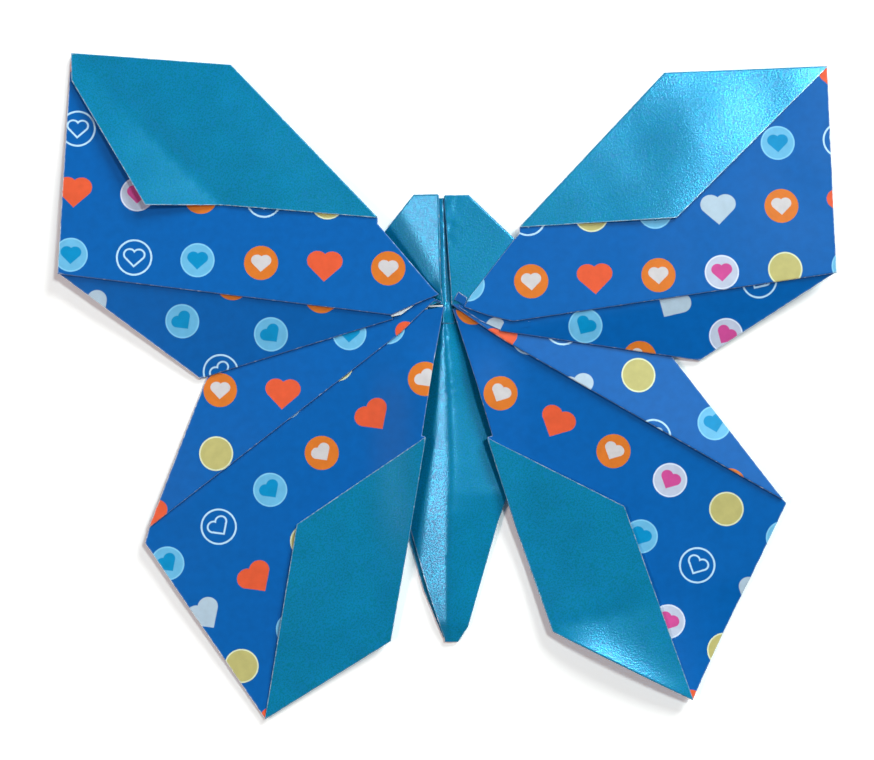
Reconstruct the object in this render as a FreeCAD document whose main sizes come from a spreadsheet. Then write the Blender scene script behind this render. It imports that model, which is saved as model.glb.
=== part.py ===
import FreeCAD, Part
import math
import os

# An origami butterfly: one square sheet of two-sided paper, folded and lying flat, printed side up.
# +X points to the right wings, +Y to the head and +Z up. Sizes are in millimetres.
# Every facet between two folds is a flat slab of paper. Slabs that share a fold share its line, and
# part there at a narrow angle, so the pleats stand one over the other as folded paper does.
# The folding is by hand, so the left and right wings differ a little and have sizes of their own.

os.makedirs("parts", exist_ok=True)
doc = FreeCAD.newDocument("origami_butterfly")

DIMENSIONS = [
    # name, value, what it is
    ("paper_thickness", 0.12, "thickness of the sheet"),
    ("edge_step", 0.8, "how far a wing's own edge stands back from its flap's fold"),
    # each wing: its tip and outer corner, by reach from the pinch and angle from the level outward
    ("upper_left_tip_reach", 67.1, "pinch to wing tip"),
    ("upper_left_tip_angle", 33.5, "degrees above level"),
    ("upper_left_corner_reach", 57.7, "pinch to the outer corner"),
    ("upper_left_corner_angle", 4.3, "degrees above level"),
    ("upper_right_tip_reach", 66.5, "pinch to wing tip"),
    ("upper_right_tip_angle", 31.8, "degrees above level"),
    ("upper_right_corner_reach", 57.7, "pinch to the outer corner"),
    ("upper_right_corner_angle", 4.5, "degrees above level"),
    ("lower_left_tip_reach", 67.4, "pinch to wing tip"),
    ("lower_left_tip_angle", -66.3, "degrees above level"),
    ("lower_left_corner_reach", 57.2, "pinch to the outer corner"),
    ("lower_left_corner_angle", -38.5, "degrees above level"),
    ("lower_right_tip_reach", 69.2, "pinch to wing tip"),
    ("lower_right_tip_angle", -58.2, "degrees above level"),
    ("lower_right_corner_reach", 58.4, "pinch to the outer corner"),
    ("lower_right_corner_angle", -30.6, "degrees above level"),
    # flaps: parallelograms turned over onto the wings, with the plain side of the paper up
    ("upper_flap_width", 24.0, "length of the fold at the wing's end"),
    ("upper_flap_length", 31.4, "length along the wing's inner edge"),
    ("lower_flap_width", 22.5, "length of the fold at the wing's end"),
    ("lower_flap_length", 30.4, "length along the wing's inner edge"),
    ("flap_lift", 0.5, "how far a flap's free side springs up from its wing"),
    ("upper_left_end_angle", -4.4, "direction of the end fold, inward, degrees above level"),
    ("upper_left_side_angle", -46.2, "direction of the inner edge, inward"),
    ("upper_right_end_angle", -2.5, "direction of the end fold, inward"),
    ("upper_right_side_angle", -46.9, "direction of the inner edge, inward"),
    ("lower_left_end_angle", 32.1, "direction of the end fold, inward"),
    ("lower_left_side_angle", 80.2, "direction of the inner edge, inward"),
    ("lower_right_end_angle", 26.0, "direction of the end fold, inward"),
    ("lower_right_side_angle", 71.2, "direction of the inner edge, inward"),
    ("loose_corner_width", 11.2, "the left upper flap's loose corner, beyond its soft crease"),
    ("loose_corner_inset", 3.9, "where that corner's raw edge leaves the wing's outer edge"),
    ("loose_corner_lift", 1.0, "how far that corner springs up"),
    # pleats between the upper and the lower wing
    ("left_notch_reach", 38.5, "pinch to the notch between the wings"),
    ("left_notch_angle", -16.8, "degrees above level"),
    ("left_edge_inset", 1.4, "notch to where the third pleat's raw edge comes out from under the second"),
    ("right_notch_reach", 38.6, "pinch to the notch between the wings"),
    ("right_notch_angle", -12.6, "degrees above level"),
    ("right_edge_inset", 4.4, "notch to where the third pleat's raw edge comes out from under the second"),
    ("notch_tuck", 6.0, "how far the third pleat's raw edge runs on under the second"),
    ("pinch_length", 1.0, "length of the centre line where the pleats are pinched together"),
    ("left_gather_reach", 8.2, "pinch to where the first two pleats' folds gather"),
    ("left_gather_angle", -15.6, "degrees above level"),
    ("right_gather_reach", 9.1, "pinch to where the first two pleats' folds gather"),
    ("right_gather_angle", -24.5, "degrees above level"),
    ("hip_reach", 12.2, "pinch to the hidden end of the lower wing's tuck"),
    ("hip_angle", -9.5, "degrees above level"),
    # head and body: the plain side of the sheet, in one strip under the wings' inner edges
    ("head_length", 15.8, "pinch to the head's top fold"),
    ("head_top_left", 4.9, "centre to the top fold's left end"),
    ("head_top_right", 3.3, "centre to the top fold's right end"),
    ("left_cheek_reach", 14.1, "pinch to the head's left corner"),
    ("left_cheek_angle", 48.7, "degrees above level"),
    ("right_cheek_reach", 13.6, "pinch to the head's right corner"),
    ("right_cheek_angle", 41.6, "degrees above level"),
    ("gutter_width", 0.9, "the narrow strip sunk between the head's halves"),
    ("gutter_depth", 0.6, "how far it is sunk"),
    ("gutter_lean", 1.5, "how far its top stands to the left of its foot"),
    ("body_length", 50.5, "pinch to the body's foot"),
    ("body_ridge_length", 31.0, "pinch to the highest place of the body's ridge"),
    ("body_left_length", 32.8, "pinch to the left side's widest place"),
    ("body_left_width", 6.4, "centre to the left side there"),
    ("body_right_length", 28.8, "pinch to the right side's widest place"),
    ("body_right_width", 8.9, "centre to the right side there"),
    ("body_neck_width", 2.8, "whole width at the pinch"),
    ("body_foot_width", 1.3, "whole width at the foot"),
    ("body_hem", 3.0, "width of the hems turned under at the body's lower edges"),
    # heights above the table, of the underside of the sheet
    ("pinch_height", 3.7, "the upper wings' folds at the pinch"),
    ("upper_fall_angle", 3.6, "how steeply the upper wings fall toward the head, in degrees"),
    ("upper_corner_height", 2.2, "the upper wings' outer corners"),
    ("hidden_fold_drop", 0.5, "how far the first two pleats' hidden fold lies under the upper wing"),
    ("pleat_drop", 0.8, "how far the second and third pleats lie under the upper wings at the pinch"),
    ("pleat_fall_angle", 5.1, "how steeply the third pleats fall toward the head, in degrees"),
    ("left_notch_height", 0.9, "the second left pleat's fold at the notch"),
    ("right_notch_height", 1.6, "the second right pleat's fold at the notch"),
    ("hip_drop", 2.0, "how far the lower wings' hidden tuck lies under the upper wings at the pinch"),
    ("lower_corner_height", 1.9, "the lower wings' outer corners"),
    ("lower_tip_height", 0.4, "the lower wings' tips"),
    ("head_height", 1.2, "the head's top fold"),
    ("neck_drop", 1.35, "how far the body's ridge and the gutter's floor lie under the upper wings there"),
    ("ridge_height", 3.1, "the body's ridge at its highest"),
    ("foot_height", 0.7, "the body's ridge at its foot"),
]

sheet = doc.addObject("Spreadsheet::Sheet", "Dimensions")
for row, (name, value, meaning) in enumerate(DIMENSIONS, start=1):
    sheet.set(f"A{row}", name)
    sheet.set(f"B{row}", str(value))
    sheet.set(f"C{row}", meaning)
    sheet.setAlias(f"B{row}", name)
doc.recompute()


def size(name):
    """The driving dimension with this name, read from the spreadsheet."""
    return float(getattr(sheet, name))


def outward(side, reach, angle, height=0.0):
    """The point at a reach and an angle from the pinch: side is -1 for left and 1 for right."""
    turn = math.radians(angle)
    return FreeCAD.Vector(side * reach * math.cos(turn), reach * math.sin(turn), height)


def step_inward(side, length, angle):
    """A level step from a wing's end toward the body, at an angle above level."""
    turn = math.radians(angle)
    return FreeCAD.Vector(-side * length * math.cos(turn), length * math.sin(turn), 0.0)


def laid_on(point, corners, lift=0.0):
    """The point moved straight up or down onto the plane through three corners, plus a lift."""
    first, second, third = corners
    normal = (second - first).cross(third - first)
    across = normal.x * (point.x - first.x) + normal.y * (point.y - first.y)
    return FreeCAD.Vector(point.x, point.y, first.z - across / normal.z + lift)


slabs = []


def facet(name, points):
    """A flat facet of the sheet: the outline of its underside, given the paper's thickness."""
    wire = Part.makePolygon(points + points[:1])
    outline = doc.addObject("Part::Feature", name + "_outline")
    outline.Shape = Part.Face(wire)
    slab = doc.addObject("Part::Extrusion", name)
    slab.Base = outline
    slab.DirMode = "Custom"
    slab.Dir = FreeCAD.Vector(0, 0, 1)
    slab.Solid = True
    slab.setExpression("LengthFwd", "Dimensions.paper_thickness")
    slabs.append(slab)


def fold_band(name, below, above, inward):
    """The bend of paper along a fold that joins two layers: an upright band, one thickness deep."""
    top = FreeCAD.Vector(0, 0, size("paper_thickness"))
    corners = [below[0], below[1], above[1] + top, above[0] + top]
    wire = Part.makePolygon(corners + corners[:1])
    outline = doc.addObject("Part::Feature", name + "_outline")
    outline.Shape = Part.Face(wire)
    band = doc.addObject("Part::Extrusion", name)
    band.Base = outline
    band.DirMode = "Custom"
    band.Dir = inward
    band.Solid = True
    band.setExpression("LengthFwd", "Dimensions.paper_thickness")
    slabs.append(band)


def level_normal(start, end, toward):
    """The level unit vector square to a line, on the side where another point lies."""
    along = end - start
    across = FreeCAD.Vector(-along.y, along.x, 0).normalize()
    if across.dot(toward - start) < 0:
        across = across * -1
    return across


def wing_flap(name, tip, bend, heel, plane):
    """A flap turned over onto a wing: folded at the wing's end and closed along its inner edge."""
    lift = size("flap_lift")
    raised_heel = laid_on(heel, plane, lift)
    free_corner = tip + (raised_heel - bend)
    facet(name + "_flap", [tip, bend, raised_heel, free_corner])
    inward = level_normal(bend, heel, tip)
    fold_band(name + "_flap_band", [bend, heel], [bend, raised_heel], inward)
    return free_corner


def stood_back(edge_end, edge_start, toward):
    """The end of a wing's edge, moved in by the step between the edge and its flap's fold."""
    return edge_end + level_normal(edge_start, edge_end, toward) * size("edge_step")


def centre(along, height):
    """A point on the centre line."""
    return FreeCAD.Vector(0, along, height)


HALF_PINCH = size("pinch_length") / 2


def pinch_line(height, fall_angle):
    """The two ends of the centre line where a layer is pinched: lower at the head's end."""
    fall = HALF_PINCH * math.tan(math.radians(fall_angle))
    return [centre(HALF_PINCH, height - fall), centre(-HALF_PINCH, height + fall)]


PINCH_HEIGHT = size("pinch_height")
HIP_HEIGHT = PINCH_HEIGHT - size("hip_drop")
NECK_HEIGHT = PINCH_HEIGHT - size("neck_drop")
PINCH = pinch_line(PINCH_HEIGHT, size("upper_fall_angle"))
PLEAT_PINCH = pinch_line(PINCH_HEIGHT - size("pleat_drop"), size("pleat_fall_angle"))


def upper_wing(side, label):
    """The upper wing's blade, with its flap above: the top layer, folded under at its lower edge."""
    wing = "upper_" + label
    corner_height = size("upper_corner_height")
    corner = outward(side, size(wing + "_corner_reach"), size(wing + "_corner_angle"), corner_height)
    plane = PINCH + [corner]
    tip = laid_on(outward(side, size(wing + "_tip_reach"), size(wing + "_tip_angle")), plane)
    bend = laid_on(tip + step_inward(side, size("upper_flap_width"), size(wing + "_end_angle")), plane)
    heel_step = step_inward(side, size("upper_flap_length"), size(wing + "_side_angle"))
    heel = laid_on(bend + heel_step, plane)
    stepped = laid_on(stood_back(heel, bend, tip), plane)
    gather = laid_on(outward(side, size(label + "_gather_reach"), size(label + "_gather_angle")), plane)
    facet(wing + "_blade", [tip, bend, heel, stepped, PINCH[0], PINCH[1], gather, corner])
    free_corner = wing_flap(wing, tip, bend, heel, plane)
    if side < 0:
        loose_corner(tip, corner, free_corner, plane)
    return corner, gather, plane


def loose_corner(tip, corner, free_corner, plane):
    """The left upper flap's loose corner: past the soft crease it springs up to a raw edge."""
    reach = FreeCAD.Vector(size("loose_corner_width"), 0, 0)
    raised = laid_on(free_corner - reach, plane, size("loose_corner_lift"))
    down_edge = (corner - tip).normalize() * size("loose_corner_inset")
    inset = tip + down_edge + FreeCAD.Vector(0, 0, size("paper_thickness"))
    facet("loose_corner", [tip, free_corner, raised])
    facet("loose_corner_edge", [tip, raised, inset])


def pleats(side, label, corner, gather, upper_plane):
    """The pleats between the upper and the lower wing, each fold laid over the next pleat."""
    wing = "lower_" + label
    low_height = size("lower_corner_height")
    low_corner = outward(side, size(wing + "_corner_reach"), size(wing + "_corner_angle"), low_height)
    third = PLEAT_PINCH + [low_corner]
    low_gather = laid_on(gather, third)
    notch_height = size(label + "_notch_height")
    notch = outward(side, size(label + "_notch_reach"), size(label + "_notch_angle"), notch_height)
    fold_line = (low_gather - notch).normalize()
    rim = laid_on(notch + fold_line * size(label + "_edge_inset"), third)
    raw_edge = (rim - low_corner).normalize()
    tuck = laid_on(rim + raw_edge * size("notch_tuck"), third)
    cheek = outward(side, size(label + "_cheek_reach"), size(label + "_cheek_angle"))
    cheek = laid_on(cheek, upper_plane, -size("hidden_fold_drop"))
    facet(label + "_first_return", [corner, gather, cheek])
    facet(label + "_second_pleat_root", [corner, cheek, low_gather])
    facet(label + "_second_pleat", [corner, low_gather, notch])
    facet(label + "_second_return", [low_gather, notch, tuck])
    facet(label + "_third_pleat", [PLEAT_PINCH[0], PLEAT_PINCH[1], low_corner, rim, tuck, low_gather])
    return low_corner, cheek, low_gather


def lower_wing(side, label, corner):
    """The lower wing's blade with its flap above, hung from the tuck under the third pleat."""
    wing = "lower_" + label
    tip = outward(side, size(wing + "_tip_reach"), size(wing + "_tip_angle"), size("lower_tip_height"))
    hip = outward(side, size("hip_reach"), size("hip_angle"), HIP_HEIGHT)
    facet(label + "_third_return", [corner, PLEAT_PINCH[1], hip])
    plane = [corner, hip, tip]
    bend = laid_on(tip + step_inward(side, size("lower_flap_width"), size(wing + "_end_angle")), plane)
    heel_step = step_inward(side, size("lower_flap_length"), size(wing + "_side_angle"))
    heel = laid_on(bend + heel_step, plane)
    stepped = laid_on(stood_back(heel, bend, tip), plane)
    neck = laid_on(FreeCAD.Vector(side * size("body_neck_width") / 2, -HALF_PINCH, 0), plane)
    facet(wing + "_blade", [corner, hip, neck, stepped, heel, bend, tip])
    wing_flap(wing, tip, bend, heel, plane)


def head_half(side, label, gather, cheek, low_gather):
    """Half of the head: plain side up, folded back under itself at its cheek and its top."""
    sink = FreeCAD.Vector(0, 0, size("gutter_depth"))
    half_gutter = side * size("gutter_width") / 2
    half_lean = size("gutter_lean") / 2
    crown = FreeCAD.Vector(side * size("head_top_" + label), size("head_length"), size("head_height"))
    inner_top = FreeCAD.Vector(half_gutter - half_lean, size("head_length"), size("head_height"))
    floor_foot = FreeCAD.Vector(half_gutter + half_lean, 0, NECK_HEIGHT)
    inner_foot = floor_foot + sink
    floor_top = inner_top - sink
    facet(label + "_head_root", [gather, inner_foot, cheek])
    facet(label + "_cheek", [inner_foot, cheek, crown])
    facet(label + "_crown", [inner_foot, crown, inner_top])
    facet(label + "_head_back", [low_gather, cheek, crown])
    facet(label + "_head_lining", [low_gather, crown, floor_top])
    facet(label + "_head_seat", [low_gather, floor_top, floor_foot])
    outside = FreeCAD.Vector(side, 0, 0)
    fold_band(label + "_gutter_wall", [floor_top, floor_foot], [inner_top, inner_foot], outside)
    return floor_top, floor_foot


def body_half(side, label):
    """Half of the body: from its ridge down to its side, with a hem turned under at the lower edge."""
    neck_ridge = centre(0, NECK_HEIGHT)
    neck_side = FreeCAD.Vector(side * size("body_neck_width") / 2, 0, HIP_HEIGHT / 2)
    ridge = centre(-size("body_ridge_length"), size("ridge_height"))
    side_length = size("body_" + label + "_length")
    widest = FreeCAD.Vector(side * size("body_" + label + "_width"), -side_length, 0)
    foot_ridge = centre(-size("body_length"), size("foot_height"))
    foot_side = FreeCAD.Vector(side * size("body_foot_width") / 2, -size("body_length"), 0)
    facet(label + "_back", [neck_ridge, ridge, widest])
    facet(label + "_shoulder", [neck_ridge, widest, neck_side])
    facet(label + "_tail", [ridge, foot_ridge, widest])
    facet(label + "_tail_side", [foot_ridge, foot_side, widest])
    hem = FreeCAD.Vector(-side * size("body_hem"), 0, 0)
    facet(label + "_hem", [widest, foot_side, widest + hem])


gutter = []
for side, label in ((-1, "left"), (1, "right")):
    corner, gather, upper_plane = upper_wing(side, label)
    low_corner, cheek, low_gather = pleats(side, label, corner, gather, upper_plane)
    lower_wing(side, label, low_corner)
    gutter.append(head_half(side, label, gather, cheek, low_gather))
    body_half(side, label)
(left_top, left_foot), (right_top, right_foot) = gutter
facet("gutter_floor", [left_top, left_foot, right_foot, right_top])

butterfly = doc.addObject("Part::MultiFuse", "folded_sheet")
butterfly.Label = "folded_sheet"
butterfly.Shapes = slabs
butterfly.Refine = False
doc.recompute()

box = butterfly.Shape.BoundBox
butterfly.Placement = FreeCAD.Placement(
    FreeCAD.Vector(-(box.XMin + box.XMax) / 2, -(box.YMin + box.YMax) / 2, -box.ZMin),
    FreeCAD.Rotation(),
)
doc.recompute()

for item in doc.Objects:
    faults = [state for state in item.State if state in ("Invalid", "Error")]
    if faults:
        raise RuntimeError(f"{item.Label} failed: {faults}")
if butterfly.Shape.isNull() or not butterfly.Shape.isValid():
    raise RuntimeError("the folded sheet has no valid shape")
if len(butterfly.Shape.Solids) != 1:
    raise RuntimeError(f"the folded sheet is in {len(butterfly.Shape.Solids)} solids")

butterfly.Shape.exportStep("parts/folded_sheet.step")
box = butterfly.Shape.BoundBox
print(f"folded_sheet: {butterfly.Shape.Volume:.1f} mm3, {len(butterfly.Shape.Faces)} faces")
print(f"size {box.XLength:.2f} x {box.YLength:.2f} x {box.ZLength:.2f} mm")
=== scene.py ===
import math
from functools import partial

import bpy
from bpy.props import FloatProperty, FloatVectorProperty, PointerProperty
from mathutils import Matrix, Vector, noise
from mathutils.geometry import delaunay_2d_cdt


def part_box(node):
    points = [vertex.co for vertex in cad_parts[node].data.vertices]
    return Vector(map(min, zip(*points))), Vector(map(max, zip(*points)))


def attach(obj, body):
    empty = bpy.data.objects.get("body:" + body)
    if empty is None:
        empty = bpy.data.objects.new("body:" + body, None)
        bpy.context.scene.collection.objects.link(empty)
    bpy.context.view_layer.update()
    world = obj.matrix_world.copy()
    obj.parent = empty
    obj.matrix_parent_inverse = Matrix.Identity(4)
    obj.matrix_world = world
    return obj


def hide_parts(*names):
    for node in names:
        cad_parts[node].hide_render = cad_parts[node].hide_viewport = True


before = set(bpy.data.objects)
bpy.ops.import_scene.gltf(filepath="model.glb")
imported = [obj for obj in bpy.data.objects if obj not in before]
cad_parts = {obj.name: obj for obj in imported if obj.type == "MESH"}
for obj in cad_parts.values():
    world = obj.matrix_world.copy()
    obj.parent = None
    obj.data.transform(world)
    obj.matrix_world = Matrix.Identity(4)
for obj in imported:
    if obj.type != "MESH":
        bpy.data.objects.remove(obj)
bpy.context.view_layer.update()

bl_info = {
    "name": "Origami Butterfly",
    "version": (1, 0, 0),
    "blender": (4, 5, 0),
    "location": "View3D > Sidebar > Butterfly",
    "description": "A butterfly folded from one square sheet of two-sided paper",
    "category": "Add Mesh",
}

# The sheet is laid out in millimetres from the pinch, the place where all its pleats gather: x to the
# right wings, y to the head and z up from the table.
MM = 0.001


def linear(colour):
    """The linear colour, with full alpha, of an sRGB hex value such as #1B67BE."""
    shares = [int(colour[i : i + 2], 16) / 255 for i in (1, 3, 5)]
    curved = [s / 12.92 if s <= 0.04045 else ((s + 0.055) / 1.055) ** 2.4 for s in shares]
    return (*curved, 1.0)


def length(name, description, millimetres):
    """A size that the user may change, given here in millimetres."""
    return FloatProperty(
        name=name, description=description, default=millimetres * MM, precision=5,
        subtype="DISTANCE", unit="LENGTH",
    )


def power(name, description, watts):
    """A lamp's power that the user may change, given here in watts."""
    return FloatProperty(name=name, description=description, default=watts, subtype="POWER", unit="POWER")


def colour(name, description, value):
    """A colour that the user may change, given here as an sRGB hex value."""
    return FloatVectorProperty(
        name=name, description=description, default=linear(value), size=4, min=0, max=1, subtype="COLOR"
    )


class PaperSettings(bpy.types.PropertyGroup):
    """Sizes of the folded sheet."""

    thickness: length("Thickness", "Thickness of the paper", 0.12)
    fold_radius: length("Fold radius", "Radius of the middle of the paper round a fold", 0.09)
    wave_height: length("Wave height", "How far the paper waves out of flat", 0.16)
    print_step: length("Print step", "Distance between neighbouring motifs of the print", 9.4)


class InkSettings(bpy.types.PropertyGroup):
    """Colours of the sheet's two sides."""

    ground: colour("Ground", "The print's ground", "#0061B1")
    plain: colour("Plain side", "The pearly plain side", "#007CB8")
    pearl: colour("Pearl", "What the plain side's pearl flakes give back", "#08B4C6")
    # this colour is also laid faintly, in patches, on the round of each fold
    core: colour("Core", "The bare paper at a cut or worn edge", "#DDE8EE")


class StudioSettings(bpy.types.PropertyGroup):
    """The table, the lamps and the camera."""

    camera_height: length("Camera height", "Height of the lens over the table", 307.5)
    table: colour("Table", "The table's top", "#FBFBF9")
    ceiling_power: power("Ceiling", "Power of the high lamp", 8.8)
    window_power: power("Window", "Power of the low lamp at the upper right", 7.7)
    side_power: power("Side", "Power of the lamp at the left", 2.0)
    room: FloatProperty(
        name="Room", description="Strength of the even light of the room", default=0.1, subtype="FACTOR"
    )


def add_node(tree, kind, inputs=None, **settings):
    """Adds a node with its settings, and each input's value or the output that is linked to it."""
    made = tree.nodes.new("ShaderNode" + kind)
    for name, value in settings.items():
        setattr(made, name, value)
    for socket, source in (inputs or {}).items():
        if isinstance(source, bpy.types.NodeSocket):
            tree.links.new(source, made.inputs[socket])
        else:
            made.inputs[socket].default_value = source
    return made


def calculate(tree, operation, *values):
    """The output of one sum on outputs or numbers."""
    return add_node(tree, "Math", dict(enumerate(values)), operation=operation).outputs[0]


def new_material(name):
    """An empty material and its tree."""
    material = bpy.data.materials.new(name)
    material.use_nodes = True
    material.node_tree.nodes.clear()
    return material, material.node_tree


# The print is a square lattice of motifs that repeats every eight steps both ways. Row 0 comes first,
# and each row is written from column 0 to column 7: B a light blue disc with a darker heart, O an
# orange disc with a white heart, R a red heart, P a pale disc with a pink heart, Y a yellow disc, L a
# circle and a heart in outline, and W a white heart.
PRINT_ROWS = "BOROPYBL OLYBWORP WOBPLBLY RPLWYORO LBRLOPYB BOPBORRL OBLYWPYB YPWRBLWR".split()
REPEAT = len(PRINT_ROWS)
FILLED = 9.0  # a line this wide fills its shape
MOTIFS = {
    # motif: disc's colour, its rim's, the heart's; disc's radius, heart's size and line's width in mm
    "B": ("#6CBCE6", "#86D0F5", "#0090CA", 2.51, 2.4, FILLED),
    "O": ("#DD7A2C", "#DD7A2C", "#D3D0D2", 2.5, 2.3, FILLED),
    "R": ("#E85F3A", "#E85F3A", "#E85F3A", 0.0, 4.06, FILLED),
    "P": ("#C3CEE4", "#DDEBFF", "#D2509A", 2.52, 2.4, FILLED),
    "Y": ("#C2BC78", "#E2ECC6", "#C2BC78", 2.53, 0.0, FILLED),
    "L": ("#BDE6FF", "#BDE6FF", "#BDE6FF", 2.67, 2.57, 0.25),
    "W": ("#B7CEDF", "#CFE2F0", "#B7CEDF", 0.0, 4.06, FILLED),
}
BLANK = (0.0, 0.0, 0.0, 1.0)
KINDS = len(MOTIFS) + 1
HALF_RIM = 0.10  # half the width of a disc's rim, in mm
INK_BLUR = 0.09  # over how many mm an ink's edge fades
# a heart of size 1 is a square with sides of 0.707 stood on its corner, with a lobe on each upper side
HEART_WIDTH, HEART_MIDDLE = 1.07, 0.58
SLANT, LOBE_RADIUS = 0.7071, 0.3536


def lookup(tree, place, values):
    """The value from a list at a place along it, between 0 and 1."""
    ramp = add_node(tree, "ValToRGB", {"Fac": place})
    ramp.color_ramp.interpolation = "CONSTANT"
    elements = ramp.color_ramp.elements
    for spot, value in enumerate(values):
        stop = elements[spot] if spot < 2 else elements.new(spot / len(values))
        stop.position = spot / len(values)
        stop.color = value
    return ramp.outputs["Color"]


def print_colour(tree, ground, step):
    """The printed side's colour, from the lattice place that each face of the sheet carries."""
    maths = partial(calculate, tree)
    place = add_node(tree, "UVMap", uv_map="print_place").outputs["UV"]
    split = add_node(tree, "SeparateXYZ", {0: place}).outputs
    nearest = [maths("ROUND", split[axis]) for axis in (0, 1)]
    across, up = (maths("SUBTRACT", split[axis], nearest[axis]) for axis in (0, 1))
    column, row = (maths("FLOORED_MODULO", number, REPEAT) for number in nearest)

    # what kind of motif is here, as a share of the list of kinds
    column = maths("MULTIPLY_ADD", column, 1 / REPEAT, 0.5 / REPEAT)
    letters = list(MOTIFS)
    kind = 0.0
    for number, motifs in enumerate(PRINT_ROWS):
        codes = [((letters.index(motif) + 0.5) / KINDS,) * 3 + (1.0,) for motif in motifs]
        here = maths("COMPARE", row, number, 0.5)
        kind = maths("MULTIPLY_ADD", here, lookup(tree, column, codes), kind)
    disc_ink, rim_ink, heart_ink = (
        lookup(tree, kind, [linear(motif[i]) for motif in MOTIFS.values()] + [BLANK]) for i in range(3)
    )
    sizes = [tuple(size / step for size in motif[3:]) + (1.0,) for motif in MOTIFS.values()] + [BLANK]
    radius, heart_size, line = add_node(tree, "SeparateColor", {0: lookup(tree, kind, sizes)}).outputs

    def outlined(edge):
        """The distance to a line's width just inside an edge."""
        return maths("MAXIMUM", edge, maths("SUBTRACT", maths("MULTIPLY", edge, -1.0), line))

    def distance(a, b):
        """How far a place is from the middle of its axes."""
        return maths("SQRT", maths("ADD", maths("POWER", a, 2.0), maths("POWER", b, 2.0)))

    disc_edge = maths("SUBTRACT", distance(across, up), radius)
    rim_middle = maths("ADD", disc_edge, HALF_RIM / step)
    rim_edge = maths("SUBTRACT", maths("ABSOLUTE", rim_middle), HALF_RIM / step)

    wide = maths("DIVIDE", maths("ABSOLUTE", across), maths("MULTIPLY", heart_size, HEART_WIDTH))
    high = maths("ADD", maths("DIVIDE", up, heart_size), HEART_MIDDLE)
    tall = maths("ABSOLUTE", maths("SUBTRACT", high, 0.5))
    square_edge = maths("MULTIPLY", maths("SUBTRACT", maths("ADD", wide, tall), 0.5), SLANT)
    lobe = distance(maths("SUBTRACT", wide, 0.25), maths("SUBTRACT", high, 0.75))
    lobe_edge = maths("SUBTRACT", lobe, LOBE_RADIUS)
    heart_edge = maths("MULTIPLY", maths("MINIMUM", square_edge, lobe_edge), heart_size)

    layers = (
        (outlined(disc_edge), disc_ink, radius),
        (rim_edge, rim_ink, radius),
        (outlined(heart_edge), heart_ink, heart_size),
    )
    result = ground
    for edge, ink, size in layers:
        soft = maths("MULTIPLY_ADD", edge, -step / INK_BLUR, 0.5)
        cover = add_node(tree, "Clamp", {0: soft}).outputs[0]
        cover = maths("MULTIPLY", cover, maths("GREATER_THAN", size, 0.01))
        result = add_node(tree, "Mix", {0: cover, 6: result, 7: ink}, data_type="RGBA").outputs[2]
    return result


def object_noise(tree, size, detail):
    """Noise on the piece's own coordinates, with features of about that size in millimetres."""
    place = add_node(tree, "TexCoord").outputs["Object"]
    inputs = {"Vector": place, "Scale": 1 / (size * MM), "Detail": detail}
    return add_node(tree, "TexNoise", inputs).outputs["Fac"]


def mottled(tree, base, size, detail, darkest, lightest):
    """The colour made darker and lighter in patches of about that size in millimetres."""
    patches = object_noise(tree, size, detail)
    level = add_node(tree, "MapRange", {0: patches, 1: 0.3, 2: 0.7, 3: darkest, 4: lightest}).outputs[0]
    return add_node(tree, "HueSaturation", {"Value": level, "Color": base}).outputs[0]


def paled(tree, base, core):
    """The paper's white core shown at cut edges, and its colour laid faintly in patches on folds."""
    blotches = object_noise(tree, 0.7, 2.0)
    shown = 0.0
    for attribute, low, high in (("raw_edge", 0.36, 0.62), ("fold_edge", 0.55, 0.75)):
        amount = add_node(tree, "Attribute", attribute_name=attribute).outputs["Fac"]
        patches = add_node(tree, "MapRange", {0: blotches, 1: low, 2: high, 3: 0.15, 4: 0.85}).outputs[0]
        shown = calculate(tree, "MAXIMUM", shown, calculate(tree, "MULTIPLY", amount, patches))
    return add_node(tree, "Mix", {0: shown, 6: base, 7: core}, data_type="RGBA").outputs[2]


def finish_material(material, base, surface, strength, depth, relief):
    """Gives a paper's material its shader and output, with a relief of a depth in millimetres."""
    tree = material.node_tree
    relief = {"Strength": strength, "Distance": depth * MM, "Height": relief}
    bump = add_node(tree, "Bump", relief).outputs[0]
    shader = add_node(tree, "BsdfPrincipled", {"Base Color": base, **surface, "Normal": bump})
    add_node(tree, "OutputMaterial", {0: shader.outputs[0]})
    return material


def printed_side(inks, step):
    """Coated paper, printed in flat inks: an even, slightly silky surface whose fibres barely show."""
    material, tree = new_material("offset_printed_coated_paper")
    inked = mottled(tree, print_colour(tree, inks.ground, step), 1.3, 3.0, 0.94, 1.05)
    # paper fibres are 0.02 mm wide: drawn at 0.3 mm, so that they show at all
    fibres = object_noise(tree, 0.3, 2.0)
    surface = {"Roughness": 0.42, "IOR": 1.5, "Specular IOR Level": 0.15}
    return finish_material(material, paled(tree, inked, inks.core), surface, 0.12, 0.05, fibres)


def plain_side(inks):
    """Pearl lacquer on paper, with mica flakes: it glints where it faces a lamp and is deep elsewhere."""
    material, tree = new_material("pearl_lacquered_paper")
    flakes = object_noise(tree, 0.24, 3.0)
    share = add_node(tree, "MapRange", {0: flakes, 1: 0.41, 2: 0.6, 3: 0.08, 4: 0.46}).outputs[0]
    pearly = add_node(tree, "Mix", {0: share, 6: inks.plain, 7: inks.pearl}, data_type="RGBA").outputs[2]
    pearly = mottled(tree, pearly, 4.0, 4.0, 0.93, 1.06)
    # the flakes are 0.05 mm across: drawn at 0.24 mm, as coarse as their glints need to show
    surface = {"Metallic": share, "Roughness": 0.25, "IOR": 1.5, "Specular IOR Level": 0.55}
    return finish_material(material, paled(tree, pearly, inks.core), surface, 0.42, 0.05, flakes)


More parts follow.
